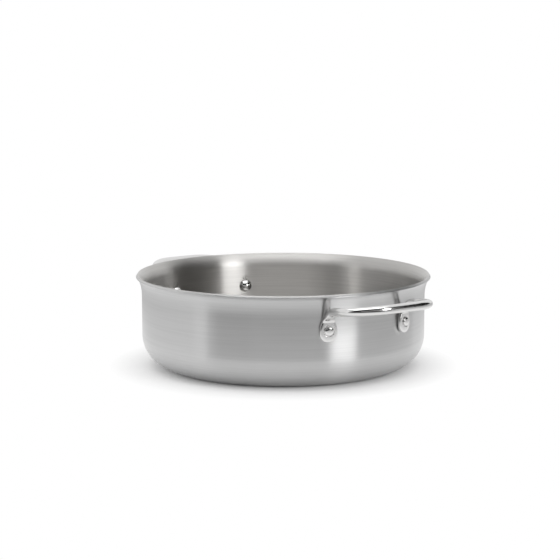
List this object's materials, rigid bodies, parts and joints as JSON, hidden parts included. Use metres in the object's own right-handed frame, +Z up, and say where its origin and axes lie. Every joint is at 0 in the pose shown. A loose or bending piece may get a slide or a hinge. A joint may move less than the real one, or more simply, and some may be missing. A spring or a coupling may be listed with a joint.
{
  "type": "saute pan",
  "caption": "Straight-sided clad stainless steel saute pan with a flared pouring lip, a flat base and riveted loop handles on opposite sides.",
  "frame": {"origin": "centre of the base, on the surface that the pan stands on", "axes": "+Z up along the pan's axis, +X out along the front handle, +Y to the right when the front handle is faced from outside"},
  "size_m": [0.3958, 0.2978, 0.093],
  "materials": {
    "cooking_steel": "satin, brushed round the pan",
    "core_aluminium": "cut edge, ground with the lip",
    "outer_steel": "satin, brushed round the pan",
    "cast_steel": "cast stainless steel, polished",
    "rivet_steel": "stainless steel, mirror polished dome"
  },
  "bodies": {
    "root": {"inner_ply": "cooking_steel", "core_ply": "core_aluminium", "outer_ply": "outer_steel", "front_handle": "cast_steel", "back_handle": "cast_steel", "front_handle_left_rivet": "rivet_steel", "front_handle_right_rivet": "rivet_steel", "back_handle_left_rivet": "rivet_steel", "back_handle_right_rivet": "rivet_steel"}
  },
  "joints": []
}
